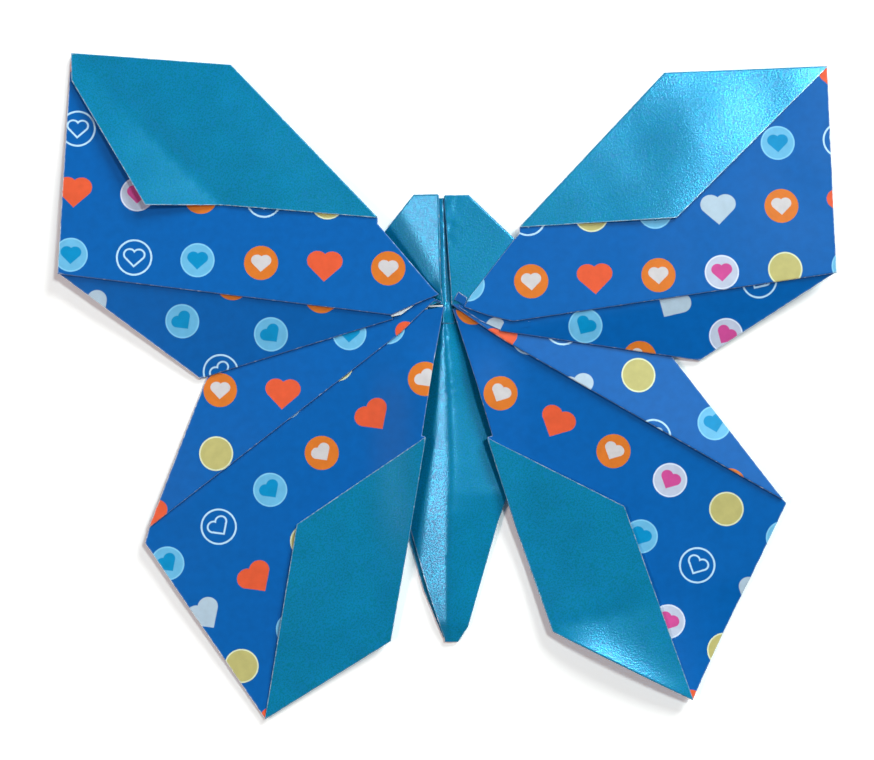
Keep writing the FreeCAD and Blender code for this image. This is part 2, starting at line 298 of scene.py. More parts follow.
def cut_edge(inks):
    """The cut edge of the paper: bare white fibres, dull and a little rough."""
    material, tree = new_material("bare_paper_fibre")
    base = mottled(tree, inks.core, 0.2, 2.0, 0.85, 1.0)
    grain = object_noise(tree, 0.2, 2.0)
    return finish_material(material, base, {"Roughness": 0.8, "IOR": 1.45}, 0.3, 0.03, grain)


# where the print's lattice lies on each printed facet: the way its rows run, in degrees above +X, and
# the place of the middle of row 0, column 0, in millimetres from the pinch
PRINT_PLACES = {
    "upper_left": (-2.5, -36.86, 6.22),
    "upper_right": (2.8, 3.0, 2.62),
    "second_left": (36.6, -42.88, 17.94),
    "second_right": (-30.2, 10.23, 35.08),
    "third_left": (-2.9, -25.74, -41.62),
    "third_right": (12.7, -2.15, -46.53),
    "lower_left": (35.6, -26.19, -27.72),
    "lower_right": (-27.1, -0.49, -9.15),
    "squeezed": (60.0, 23.4, -14.4),
    "hidden": (45.0, 1.5, 2.5),
    "core": (45.0, 1.5, 2.5),
}

# sizes of the nets that the facets are made of, and of the stack of layers, in millimetres
SPACING = 1.1  # between the points of a facet
FINE = 0.5  # the same on the head
RIM = 0.14  # the width of the fine rim just inside a facet's outline
FLAT = 0.08  # the height of the paper's middle where it lies on the table
LAYER = 0.2  # from one layer to the next
# shares of other sizes
ROW_RISE = 0.866  # from one row of a net to the next, over its spacing
BORDER_GAP = 0.55  # how far a net's inner points stay off its borders, over its spacing
BULGE = 1.3  # how far out a deep bend reaches, over the radius of a fold
ROUND_STEPS = 5  # how many strips a round bend has
SAME = 1e-5  # points nearer than this, in millimetres, are one
SLIVER = 1e-7  # a triangle with less than half this area, in square millimetres, is left out

# The outlines of the wings' facets as seen from above, in millimetres from the pinch: every point on the
# left, then on the right. The sheet is folded by hand, so the sides differ a little.
PAIRS = dict(
    tip=((-55.92, 37.01), (56.51, 35.07)), bend=((-32.16, 35.2), (32.29, 34.02)),
    heel=((-10.4, 12.5), (10.83, 11.09)), back=((-10.4, 11.54), (10.83, 10.07)),
    brow=((-9.27, 10.22), (9.86, 9.04)), inner=((-2.3, 2.01), (3.37, 0.61)),
    end=((-1.42, 1.19), (2.63, -0.65)), under_end=((-4.14, 0.09), (6.02, -1.84)),
    gather=((-8.27, -1.75), (9.71, -2.71)), corner=((-57.56, 4.36), (57.54, 4.5)),
    free_corner=((-44.45, 14.3), (33.84, 12.48)), hidden_end=((-12.5, 7.0), (13.0, 6.0)),
    low_gather=((-8.06, -2.37), (7.81, -4.1)), notch=((-36.82, -11.15), (37.68, -8.44)),
    rim=((-35.56, -10.67), (33.34, -7.9)), tuck=((-33.3, -5.0), (29.7, -3.2)),
    third_top=((-3.4, 1.1), (3.4, -0.3)), third_end=((-0.9, 0.1), (0.9, -0.3)),
    curl=((-1.9, 0.35), (1.6, -0.85)), near_bend=((-2.97, -0.55), (5.89, -3.8)),
    far_bend=((-6.95, -4.39), (8.84, -5.71)), fold_corner=((-44.05, -33.09), (49.58, -29.01)),
    hip=((-12.0, -2.6), (12.0, -4.6)), low_corner=((-44.76, -35.63), (50.22, -29.7)),
    low_tip=((-27.08, -61.77), (36.44, -58.78)), low_bend=((-8.48, -50.12), (15.75, -48.64)),
    low_mid=((-5.5, -33.3), (10.4, -33.6)), low_heel=((-3.27, -19.91), (6.03, -20.03)),
    low_free=((-22.23, -32.81), (26.22, -30.14)), step=((-3.86, -19.77), (6.81, -19.77)),
    waist=((-2.38, -10.29), (4.43, -11.77)), neck=((-0.6, -0.68), (0.95, -0.98)),
)
WINGS = {
    side: {name: pair[i] for name, pair in PAIRS.items()} for i, side in enumerate(("left", "right"))
}
WINGS["left"].update(raised=(-55.72, 32.98), crease_end=(-33.25, 14.38))
WINGS["right"].update(dent=(31.2, -44.4))
# heights of the paper's middle above the table, in millimetres
PINCH_TOP = 3.62
HEIGHTS = {
    "left": dict(tip=0.4, corner=2.4, notch=0.5, fold_corner=2.0, low_tip=0.5),
    "right": dict(tip=0.4, corner=2.4, notch=0.5, fold_corner=2.4, low_tip=0.4),
}
# how far the flaps spring up, and how far from their folds they have done so
UPPER_SPRING, UPPER_REACH = 0.45, 16.0
LOWER_SPRING, LOWER_REACH = 0.35, 11.0
# the upper left flap's crease, its depth and width, and how far the corner beyond it stands up
CREASE_DEPTH, CREASE_WIDTH, LOOSE_RISE = 0.4, 6.0, 1.1
# how far the lower wings rise over the body, and how far the right one's bent corner is lifted
OVER_BODY, BENT_RISE = 1.4, 1.1


def unit(x, y):
    """The level direction with length 1."""
    size = math.hypot(x, y) or 1.0
    return x / size, y / size


def plane(first, second, third):
    """The height of the plane through three (x, y, z) points, as a function of x and y."""
    a, b, c = Vector(first), Vector(second), Vector(third)
    normal = (b - a).cross(c - a)
    return lambda x, y: a.z - (normal.x * (x - a.x) + normal.y * (y - a.y)) / normal.z


def smooth(value, low, high):
    """0 below low, 1 above high and a smooth step between, or falling where low is above high."""
    share = min(max((value - low) / (high - low), 0.0), 1.0)
    return share * share * (3 - 2 * share)


def bell(value, width):
    """1 at 0, falling off smoothly on both sides within about twice a width."""
    return math.exp(-((value / width) ** 2))


def gap_to(point, start, end):
    """The distance from a point to a straight line between two others."""
    ax, ay = start
    bx, by = end
    span = (bx - ax) ** 2 + (by - ay) ** 2
    share = min(max(((point[0] - ax) * (bx - ax) + (point[1] - ay) * (by - ay)) / span, 0.0), 1.0)
    return math.hypot(point[0] - ax - share * (bx - ax), point[1] - ay - share * (by - ay))


def around(line):
    """The pairs of neighbours round a closed line."""
    return list(zip(line, line[1:] + line[:1]))


def inside(point, outline):
    """Whether a point is inside a closed outline."""
    x, y = point
    found = False
    for (ax, ay), (bx, by) in around(outline):
        if (ay > y) != (by > y) and x < (bx - ax) * (y - ay) / (by - ay) + ax:
            found = not found
    return found


class Sheet:
    """Gathers the middle surface of the folded sheet, facet by facet and fold by fold."""

    def __init__(self, paper):
        self.radius = paper.fold_radius / MM
        self.wave_height = paper.wave_height / MM
        self.points, self.raw, self.fold = [], [], []
        self.faces, self.places = [], []

    def relief(self, x, y):
        """How far the whole stack of paper waves up from flat at a place."""
        waves = noise.noise(Vector((x / 17.0, y / 17.0, 3.7)))
        waves += 0.5 * noise.noise(Vector((x / 8.0, y / 8.0, 9.1)))
        return smooth(math.hypot(x, y + 4.0), 10.0, 36.0) * self.wave_height * max(1.0 + waves, 0.0)

    def bent_point(self, x, y, z, raw=0.0, fold=1.0):
        """Adds a point of the paper's middle and gives its number."""
        self.points.append((x, y, z))
        self.raw.append(raw)
        self.fold.append(fold)
        return len(self.points) - 1

    def point(self, x, y, z, raw):
        """Adds a point of a facet, held clear of the table and moved up with the waves."""
        return self.bent_point(x, y, max(z, FLAT) + self.relief(x, y), raw, fold=0.0)

    def face(self, corners, place, upward):
        """Adds a face: the corners run anticlockwise seen from above, and the print faces up or down."""
        self.faces.append(tuple(corners if upward else reversed(corners)))
        self.places.append(place)

    def band(self, above, below, place, upward):
        """Adds the faces between two lines of points."""
        for i in range(len(above) - 1):
            self.face([above[i], below[i], below[i + 1], above[i + 1]], place, upward)


def divided(corners, spacing):
    """A closed outline with points every spacing, and where each corner is among them."""
    outline, starts = [], []
    for here, there in around(corners):
        starts.append(len(outline))
        outline += steps_between(here, there, spacing)[:-1]
    return outline, starts


def steps_between(start, end, spacing):
    """Points about a spacing apart on the straight line between two others, both ends included."""
    steps = max(1, round(math.dist(start, end) / spacing))
    return [tuple(a + (b - a) * step / steps for a, b in zip(start, end)) for step in range(steps + 1)]


def outward_ways(line, closed):
    """The way out at each point of an anticlockwise line, longer at corners so that an offset is even."""
    sides = []
    for start, end in around(line):
        x, y = unit(end[0] - start[0], end[1] - start[1])
        sides.append((y, -x))
    before = sides[-1:] + sides[:-1]
    if not closed:  # each end has one side only
        before[0], sides[-1] = sides[0], sides[-2]
    ways = []
    for (ax, ay), (bx, by) in zip(before, sides):
        stretch = max(1 + ax * bx + ay * by, 0.5)
        ways.append(((ax + bx) / stretch, (ay + by) / stretch))
    return ways


class Facet:
    """One facet of the sheet between its folds and cut edges, as a net of triangles with a fine rim."""

    def __init__(
        self, sheet, corners, height, place="hidden", printed_up=True, raw=(), creases=(), spacing=SPACING
    ):
        names, spots = list(corners), list(corners.values())
        if sum(a[0] * b[1] - a[1] * b[0] for a, b in around(spots)) < 0:
            names.reverse()
            spots.reverse()
        self.names, self.place, self.printed_up = names, place, printed_up
        outline, self.starts = divided(spots, spacing)
        self.count = len(outline)
        rim = min(RIM, spacing / 3)
        ways = outward_ways(outline, True)
        net = outline + [(x - way[0] * rim, y - way[1] * rim) for (x, y), way in zip(outline, ways)]
        ring = list(range(self.count))
        edges = around(ring)
        edges += [(self.count + a, self.count + b) for a, b in edges]
        borders = around(outline)
        for start, end in creases:
            line = steps_between(start, end, spacing)
            edges += [(len(net) + i, len(net) + i + 1) for i in range(len(line) - 1)]
            net += line
            borders.append((start, end))
        net += self.filling(outline, borders, spacing)

        cut = {i for path in raw for i in self.run(path)}
        net = [Vector(spot) for spot in net]
        made, _, triangles, origin, _, _ = delaunay_2d_cdt(net, edges, [ring], 1, SAME)
        first = len(sheet.points)
        numbers = {}
        for number, (spot, sources) in enumerate(zip(made, origin), start=first):
            sheet.point(spot.x, spot.y, height(spot.x, spot.y), raw=float(not cut.isdisjoint(sources)))
            numbers.update(dict.fromkeys(sources, number))
        for triangle in triangles:
            a, b, c = (made[i] for i in triangle)
            turn = (b - a).cross(c - a)
            if abs(turn) > SLIVER:
                upward = triangle if turn > 0 else reversed(triangle)
                sheet.face([first + i for i in upward], place, printed_up)
        self.ring = [numbers[i] for i in ring]

    @staticmethod
    def filling(outline, borders, spacing):
        """Points in even rows inside an outline, clear of its borders."""
        rise = spacing * ROW_RISE
        clear = spacing * BORDER_GAP
        low_x, low_y = (min(p[i] for p in outline) for i in (0, 1))
        high_x, high_y = (max(p[i] for p in outline) for i in (0, 1))
        spots = []
        for row in range(int((high_y - low_y) / rise) + 1):
            for column in range(int((high_x - low_x) / spacing) + 2):
                spot = (low_x + (column + 0.5 * (row % 2)) * spacing, low_y + (row + 0.5) * rise)
                if inside(spot, outline) and all(gap_to(spot, *border) > clear for border in borders):
                    spots.append(spot)
        return spots

    def run(self, path):
        """The outline's points along a path of neighbouring corners, put in anticlockwise order."""
        corners = [self.names.index(name) for name in path]
        if (corners[1] - corners[0]) % len(self.names) != 1:
            corners.reverse()
        start = self.starts[corners[0]]
        steps = (self.starts[corners[-1]] - start) % self.count
        return [(start + step) % self.count for step in range(steps + 1)]

    def along(self, path):
        """The sheet's point numbers along a path of neighbouring corners."""
        return [self.ring[i] for i in self.run(path)]


def roll(sheet, top, bottom, place, printed_out):
    """The round bend between two lines of points that lie one over the other."""
    ways = outward_ways([sheet.points[i][:2] for i in top], False)
    rows = [top]
    for step in range(1, ROUND_STEPS):
        turn = math.pi * (0.5 - step / ROUND_STEPS)
        row = []
        for up, down, way in zip(top, bottom, ways):
            (x, y, high), low = sheet.points[up], sheet.points[down][2]
            half = (high - low) / 2
            reach = min(half, sheet.radius * BULGE) * math.cos(turn)
            z = low + half + half * math.sin(turn)
            row.append(sheet.bent_point(x + way[0] * reach, y + way[1] * reach, z))
        rows.append(row)
    rows.append(bottom)
    for above, below in zip(rows, rows[1:]):
        sheet.band(above, below, place, printed_out)


def fold(sheet, upper, lower, *path):
    """Joins an upper facet to the facet folded back under it, along the corners that both have."""
    place = upper.place if upper.printed_up else lower.place
    roll(sheet, upper.along(path), lower.along(path), place, upper.printed_up)


def turned_under(sheet, facet, *path, width=0.9):
    """A folded edge whose paper goes on under the facet: a bend and a narrow strip of the return."""
    top = facet.along(path)
    ways = outward_ways([sheet.points[i][:2] for i in top], False)
    strips = []
    for inward in (0.0, width):
        strip = []
        for index, way in zip(top, ways):
            x, y, z = sheet.points[index]
            low = max(z - 2 * sheet.radius - 0.05 * inward, FLAT)
            strip.append(sheet.bent_point(x - way[0] * inward, y - way[1] * inward, low, fold=0.0))
        strips.append(strip)
    roll(sheet, top, strips[0], facet.place, facet.printed_up)
    sheet.band(*strips, facet.place, facet.printed_up)


def lifted(height, lift):
    """A height function moved up or down."""
    return lambda x, y: height(x, y) + lift


def lower_of(first, second):
    """The lower of two height functions at each place."""
    return lambda x, y: min(first(x, y), second(x, y))


def at(spot, z):
    """A place seen from above, with its height."""
    return (*spot, z)


def on_table(x, y):
    """The height of paper that lies on the table."""
    return FLAT


class Wings:
    """Folds the pair of wings on one side, from the top layer down."""

    def __init__(self, sheet, label):
        self.sheet, self.label = sheet, label
        self.spots = WINGS[label]

    def corner(self, name, lift=0.0):
        """A corner of the stack of paper at its own height, moved up or down."""
        return at(self.spots[name], HEIGHTS[self.label][name] + lift)

    def on(self, height, name, lift=0.0):
        """A corner at the height that a height function gives it, moved up or down."""
        return at(self.spots[name], height(*self.spots[name]) + lift)

    def facet(self, names, height, place="hidden", **settings):
        """A facet of this side's named corners."""
        corners = {name: self.spots[name] for name in names.split()}
        return Facet(self.sheet, corners, height, place, **settings)

    def fold_all(self):
        """Every facet of this side, from the upper wing to the lower wing's flap."""
        second, second_height = self.fold_upper_wing()
        third, third_height = self.fold_pleats(second, second_height)
        self.fold_lower_wing(third, third_height)

    def fold_upper_wing(self):
        """The upper wing's blade with its flap turned over on top, down to the second pleat."""
        sheet = self.sheet
        height = plane((0, 0, PINCH_TOP), self.corner("tip"), self.corner("corner"))
        blade = self.facet(
            "corner tip bend heel back brow inner end under_end gather", height, "upper_" + self.label,
            raw=[("corner", "tip")],
        )
        turned_under(sheet, blade, "heel", "back", "brow", "inner", "end", "under_end", "gather")
        self.turn_flap_over(blade, height)

        first_return = self.facet("corner gather hidden_end", lifted(height, -LAYER), printed_up=False)
        fold(sheet, blade, first_return, "corner", "gather")
        second_plane = plane(
            self.corner("corner", -2 * LAYER), self.on(height, "low_gather", -2.2 * LAYER),
            self.corner("notch"),
        )
        second_height = lower_of(second_plane, lifted(height, -2 * LAYER))
        second = self.facet(
            "corner hidden_end low_gather notch", second_height, "second_" + self.label,
            raw=[("corner", "notch")],
        )
        fold(sheet, first_return, second, "corner", "hidden_end")
        return second, second_plane

    def turn_flap_over(self, blade, height):
        """The upper wing's flap, plain side up; the left one's loose corner springs up past a crease."""
        spots = self.spots
        names, creases = "tip bend heel free_corner", []
        if self.label == "left":
            names = "tip bend heel crease_end free_corner raised"
            creases = [(spots["tip"], spots["crease_end"])]
            level = [at(spots[name], 0.0) for name in ("tip", "crease_end")]
            loose = plane(*level, at(spots["free_corner"], LOOSE_RISE))

        def flap_height(x, y):
            fold_gap = min(gap_to((x, y), spots[a], spots["bend"]) for a in ("tip", "heel"))
            spring, lift = UPPER_SPRING, 0.0
            if creases:
                spring -= CREASE_DEPTH * math.exp(-gap_to((x, y), *creases[0]) / CREASE_WIDTH)
                lift = max(loose(x, y), 0.0)
            return height(x, y) + LAYER + spring * smooth(fold_gap, 0.0, UPPER_REACH) + lift

        open_edge = names.split()[2:] + ["tip"]
        flap = self.facet(
            names, flap_height, "upper_" + self.label, printed_up=False, raw=[open_edge], creases=creases
        )
        fold(self.sheet, flap, blade, "tip", "bend", "heel")

    def fold_pleats(self, second, second_plane):
        """The return under the second pleat, and the third pleat."""
        sheet = self.sheet
        third_height = plane(
            self.on(second_plane, "low_gather", -2 * LAYER), self.on(second_plane, "rim", -2 * LAYER),
            self.corner("fold_corner"),
        )
        return_height = plane(
            self.on(second_plane, "low_gather", -LAYER), self.corner("notch", -LAYER),
            self.on(third_height, "tuck", LAYER),
        )
        second_return = self.facet(
            "low_gather notch tuck", return_height, printed_up=False, raw=[("notch", "tuck")]
        )
        fold(sheet, second, second_return, "low_gather", "notch")
        third = self.facet(
            "low_gather third_top third_end curl near_bend far_bend fold_corner rim tuck",
            third_height, "third_" + self.label, raw=[("fold_corner", "rim", "tuck")],
        )
        fold(sheet, second_return, third, "low_gather", "tuck")
        return third, third_height

    def curl(self, x, y):
        """How far the right lower wing's end curls up off the table, past a soft crease."""
        bend, dent = self.spots["low_bend"], self.spots["dent"]
        along = unit(dent[0] - bend[0], dent[1] - bend[1])
        beyond = (x - bend[0]) * along[1] - (y - bend[1]) * along[0]
        reached = (x - bend[0]) * along[0] + (y - bend[1]) * along[1]
        steepness = 0.42 - 0.02 * reached
        return max(beyond, 0.0) * steepness + BENT_RISE * bell(math.dist((x, y), bend), 9.0)

    def fold_lower_wing(self, third, third_height):
        """The return under the third pleat, and the lower wing with its flap turned over on top."""
        sheet, spots = self.sheet, self.spots
        third_return = self.facet(
            "third_end curl near_bend far_bend fold_corner hip", lifted(third_height, -LAYER),
            printed_up=False,
        )
        fold(sheet, third, third_return, "third_end", "curl", "near_bend", "far_bend", "fold_corner")
        blade_plane = plane(
            self.on(third_height, "third_end", -2 * LAYER), self.corner("fold_corner", -2 * LAYER),
            self.corner("low_tip"),
        )
        creases = [(spots["low_bend"], spots["dent"])] if "dent" in spots else []
        under_third = lifted(third_height, -2 * LAYER)

        def height(x, y):
            over_body = smooth(-y, 3.0, 15.0) * smooth(-y, 48.0, 30.0) * smooth(abs(x), 13.0, 3.0)
            rise = OVER_BODY * over_body + (self.curl(x, y) if creases else 0.0)
            return min(blade_plane(x, y) + rise, under_third(x, y))

        turn = ("low_heel", "low_mid", "low_bend", "low_tip")
        blade = self.facet(
            "hip neck waist step low_heel low_mid low_bend low_tip low_corner fold_corner", height,
            "lower_" + self.label, raw=[("low_tip", "low_corner", "fold_corner")],
        )
        fold(sheet, third_return, blade, "fold_corner", "hip")
        turned_under(sheet, blade, "neck", "waist", "step", "low_heel")

        def flap_height(x, y):
            fold_gap = min(gap_to((x, y), spots[a], spots[b]) for a, b in zip(turn, turn[1:]))
            return height(x, y) + LAYER + LOWER_SPRING * smooth(fold_gap, 0.0, LOWER_REACH)

        flap = self.facet(
            "low_heel low_mid low_bend low_tip low_free", flap_height, "lower_" + self.label,
            printed_up=False, raw=[("low_heel", "low_free", "low_tip")], creases=creases,
        )
        fold(sheet, flap, blade, *turn)


# the body: its ridge and both of its sides, as (y, x), the height of its sides, as (y, z), how far its
# ridge rises over them, and the soft bend, as (y, x), beyond which its left side droops under the wing
RIDGE_LINE = [(0.2, -0.1), (-2.5, -0.37), (-14.5, 0.45), (-24.1, 0.75), (-38.6, 0.3), (-50.4, 0.1)]
BODY_LIFT = [(0.2, 0.1), (-28.0, 0.85), (-47.5, 0.8), (-50.4, 0.35)]
RIDGE_RISE = [
    (0.2, 2.2), (-2.5, 2.3), (-14.5, 2.05), (-31.0, 2.25), (-42.0, 1.14), (-46.0, 0.66), (-48.5, 0.36),
    (-50.4, 0.14),
]
BODY_LEFT = [
    (0.2, -2.6), (-10.0, -5.4), (-31.5, -6.0), (-33.4, -5.5), (-42.8, -2.8), (-50.0, -0.35),
    (-50.4, -0.3),
]
BODY_BEND = [(0.2, -1.1), (-11.0, -1.2), (-19.0, -1.6), (-37.5, -4.1)]
BODY_RIGHT = [(0.2, 2.8), (-10.0, 5.8), (-28.5, 8.9), (-32.3, 7.5), (-48.1, 3.0), (-50.4, 1.5)]
RIDGE_SOFTNESS = 0.06  # how round the ridge is, over its side's width
DROOP, MOST_DROOP = 0.25, 0.65  # how steep the droop is, and how deep it gets, in millimetres


def read_off(line, y):
    """A value read from a list of (y, value), straight between its points."""
    for (y0, v0), (y1, v1) in zip(line, line[1:]):
        if y >= y1:
            return v0 + (v1 - v0) * min(max((y0 - y) / (y0 - y1), 0.0), 1.0)
    return line[-1][1]


def crumpled(x, y, seed):
    """Unevenness at a place, between about -1 and 1."""
    return noise.noise(Vector((x, y, seed)))


def body_height(x, y):
    """The body's height: from a soft ridge down to both sides, which stand a little off the table."""
    ridge = read_off(RIDGE_LINE, y)
    edge = read_off(BODY_LEFT if x < ridge else BODY_RIGHT, y)
    share = min(abs(x - ridge) / max(abs(edge - ridge), 0.3), 1.0)
    soft = RIDGE_SOFTNESS
    fall = (math.hypot(share, soft) - soft) / (math.hypot(1.0, soft) - soft)
    droop = min(DROOP * max(read_off(BODY_BEND, y) - x, 0.0), MOST_DROOP)
    crumple = 0.12 * bell(y + 4.0, 2.5) * crumpled(x * 1.3, y * 0.7, 2.0)
    crumple += 0.09 * smooth(-y, 19.0, 12.0) * bell(x - ridge, 0.9) * crumpled(x, y, 5.0)
    return read_off(BODY_LIFT, y) + read_off(RIDGE_RISE, y) * (1 - fall) + crumple - droop


def lettered(*spots):
    """Corners named a, b, c and so on."""
    return dict(zip("abcdefghi", spots))


def fold_body(sheet):
    """The body: the plain side of a strip that comes out from under the wings' inner edges."""
    sides = {f"left_{i}": (x, y) for i, (y, x) in enumerate(BODY_LEFT)}
    sides.update((f"right_{i}", (x, y)) for i, (y, x) in reversed(list(enumerate(BODY_RIGHT))))
    ridge = [(x, y) for y, x in RIDGE_LINE[1:-1]]
    body = Facet(
        sheet, sides, body_height, printed_up=False, raw=[("left_3", "left_4", "left_5")],
        creases=list(zip(ridge, ridge[1:])), spacing=0.55,
    )
    turned_under(sheet, body, "right_2", "right_3", "right_4", "right_5", width=1.5)
    under = lettered((-5.4, -29.0), (-6.1, -33.6), (-3.5, -42.7), (-0.5, -49.95), (0.6, -29.0))
    Facet(sheet, under, on_table, printed_up=False, raw=["bcd"], spacing=0.7)


def neck_height(x, y):
    """The neck's height: the body's, and two small puffs towards the pinch."""
    puffs = bell(x + 0.5, 0.33) + 0.9 * bell(x - 0.5, 0.45)
    return body_height(x, y) + 0.1 + 0.42 * smooth(y, -3.2, -1.2) * puffs


def fold_neck(sheet):
    """Two small puffs of crumpled paper where the body comes out of the pinch."""
    outline = lettered((-0.85, 0.1), (-1.05, -1.6), (-0.7, -3.0), (0.9, -3.0), (1.35, -1.6), (0.9, 0.1))
    neck = Facet(sheet, outline, neck_height, printed_up=False, spacing=0.25)
    turned_under(sheet, neck, *"bcde", width=0.15)


# the head's halves, each with its gutter edge from foot to top, then its outer corners
HEAD_SPOTS = "foot elbow top crown cheek root".split()
LEFT_HEAD = [(-0.68, -0.3), (-1.06, 2.4), (-1.36, 15.75), (-4.88, 15.8), (-9.24, 10.45), (-5.0, 1.2)]
RIGHT_HEAD = [(0.8, -0.4), (0.67, 1.9), (-0.38, 15.75), (3.12, 15.8), (9.92, 9.3), (5.0, 0.2)]
GUTTER_DEPTH, STRIP_DEPTH = 0.75, 0.35  # how far the gutter's floor and the strip in it are sunk


def left_head_height(x, y):
    """The left half's height: steep beside the wing, and less so past a soft bend up to the gutter."""
    past_bend = 0.87 * (x + 4.9) + 0.49 * (y - 10.7) + 0.3
    bend_width = 0.9
    short_of_bend = 0.5 * (past_bend - math.hypot(past_bend, bend_width))
    return 3.75 + 0.34 * (x + 1.2) + 0.2 * short_of_bend - 0.9 * smooth(-y, -3.5, 0.3)


def right_head_height(x, y):
    """The right half's height: nearly flat, and a little crumpled by the gutter at the top."""
    crumple = 0.1 * bell(x, 1.5) * smooth(y, 5.0, 11.0) * crumpled(x, y, 1.0)
    return 2.95 - 0.06 * max(y, 0.0) - 0.02 * x + crumple


def fold_head(sheet):
    """The head: two halves of the plain side with a narrow strip sunk in the gutter between them."""
    for spots, height in ((LEFT_HEAD, left_head_height), (RIGHT_HEAD, right_head_height)):
        outline = dict(zip(HEAD_SPOTS, spots))
        face = Facet(sheet, outline, height, printed_up=False, spacing=FINE)
        back = Facet(sheet, outline, lifted(height, -2 * LAYER), spacing=FINE)
        fold(sheet, face, back, "cheek", "crown", "top")
        turned_under(sheet, face, "top", "elbow", "foot", width=0.12)
    floor = lettered((-1.3, 15.5), (-1.25, 2.4), (-0.9, -0.5), (1.0, -0.5), (0.8, 2.4), (-0.4, 15.5))
    Facet(sheet, floor, lifted(right_head_height, -GUTTER_DEPTH), printed_up=False, spacing=FINE)
    strip = lettered(
        (-1.1, 15.45), (-0.8, 2.4), (-0.52, -0.2), (-0.15, -0.2), (-0.3, 2.4), (-0.68, 15.45)
    )
    ridge = Facet(sheet, strip, lifted(right_head_height, -STRIP_DEPTH), printed_up=False, spacing=0.4)
    turned_under(sheet, ridge, *"abc", width=0.1)
    turned_under(sheet, ridge, *"def", width=0.1)


# slips of paper squeezed out at the pinch, each with its outline, the heights of its first three corners,
# where the print lies on it, and its bare edges
SLIPS = [
    (((-8.45, -1.55), (-8.15, -2.15), (-6.8, -1.85), (-4.15, 0.1)), (3.3, 3.3, 3.32), "core", []),
    (((-2.8, -0.48), (-2.75, -0.68), (-0.6, -0.63), (-0.6, -0.4)), (2.95, 2.95, 2.9), "core", []),
    (((1.0, 0.45), (2.6, -0.45), (2.95, 0.62), (1.65, 1.55)), (3.2, 3.45, 3.6), "squeezed", ["adc"]),
    (
        ((1.65, -0.65), (5.05, -2.8), (8.45, -4.3), (10.1, -3.95), (12.3, -3.55), (12.3, -2.9),
         (9.8, -2.5), (6.1, -1.6), (2.7, -0.75)),
        (3.25, 3.15, 3.1), "squeezed", ["abcd"],
    ),
]


def fold_slips(sheet):
    """The small slips of paper at the pinch."""
    for spots, heights, place, raw in SLIPS:
        height = plane(*(at(spot, z) for spot, z in zip(spots, heights)))
        Facet(sheet, lettered(*spots), height, place, raw=raw, spacing=0.35)


def sheet_mesh(sheet, pinch, step):
    """The middle surface as a mesh in the frame, with the print's lattice and its cut edges and folds
    marked.
    """
    mesh = bpy.data.meshes.new("folded_sheet_paper")
    placed = [((x + pinch[0]) * MM, (y + pinch[1]) * MM, z * MM) for x, y, z in sheet.points]
    mesh.from_pydata(placed, [], sheet.faces)
    layer = mesh.uv_layers.new(name="print_place")
    corners = iter(layer.data)
    for polygon, face, place in zip(mesh.polygons, sheet.faces, sheet.places):
        polygon.material_index = 2 if place == "core" else 0
        turn, middle_x, middle_y = PRINT_PLACES[place]
        cosine, sine = math.cos(math.radians(turn)), math.sin(math.radians(turn))
        for index in face:
            x, y = sheet.points[index][0] - middle_x, sheet.points[index][1] - middle_y
            next(corners).uv = ((x * cosine + y * sine) / step, (y * cosine - x * sine) / step)
    for name, values in (("raw_edge", sheet.raw), ("fold_edge", sheet.fold)):
        mesh.attributes.new(name, "FLOAT", "POINT").data.foreach_set("value", values)
    return mesh


def new_object(name, data):
    """Puts an object in the scene."""
    made = bpy.data.objects.new(name, data)
    bpy.context.scene.collection.objects.link(made)
    return made


def finished_piece(mesh, thickness, materials):
    """The mesh given the paper's thickness and its three finishes, with the modifier applied."""
    for material in materials:
        mesh.materials.append(material)
    raw_piece = new_object("paper_middle", mesh)
    solid = raw_piece.modifiers.new("thickness", "SOLIDIFY")
    solid.thickness, solid.offset = thickness, 0.0
    solid.material_offset, solid.material_offset_rim = 1, 2
    graph = bpy.context.evaluated_depsgraph_get()
    finished = bpy.data.meshes.new_from_object(raw_piece.evaluated_get(graph))
    bpy.data.objects.remove(raw_piece)
    finished.shade_smooth()
    finished.set_sharp_from_angle(angle=math.radians(50))
    return new_object("folded_sheet_paper", finished)


class FoldSheet(bpy.types.Operator):
    """Fold the butterfly's sheet, with its printed and its plain side"""

    bl_idname = "butterfly.fold_sheet"
    bl_label = "Fold the sheet"

    def execute(self, context):
        paper, inks = context.scene.butterfly_paper, context.scene.butterfly_inks
        low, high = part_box("folded_sheet")
        left, right = WINGS["left"], WINGS["right"]
        pinch = (
            (low.x + high.x) / 2 / MM - (left["corner"][0] + right["corner"][0]) / 2,
            (low.y + high.y) / 2 / MM - (left["tip"][1] + left["low_tip"][1]) / 2,
        )
        sheet = Sheet(paper)
        for label in WINGS:
            Wings(sheet, label).fold_all()
        fold_body(sheet)
        fold_neck(sheet)
        fold_head(sheet)
        fold_slips(sheet)
        step = paper.print_step / MM
        mesh = sheet_mesh(sheet, pinch, step)
        finishes = [printed_side(inks, step), plain_side(inks), cut_edge(inks)]
        piece = finished_piece(mesh, paper.thickness, finishes)
        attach(piece, "root")
        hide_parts("folded_sheet")
        return {"FINISHED"}


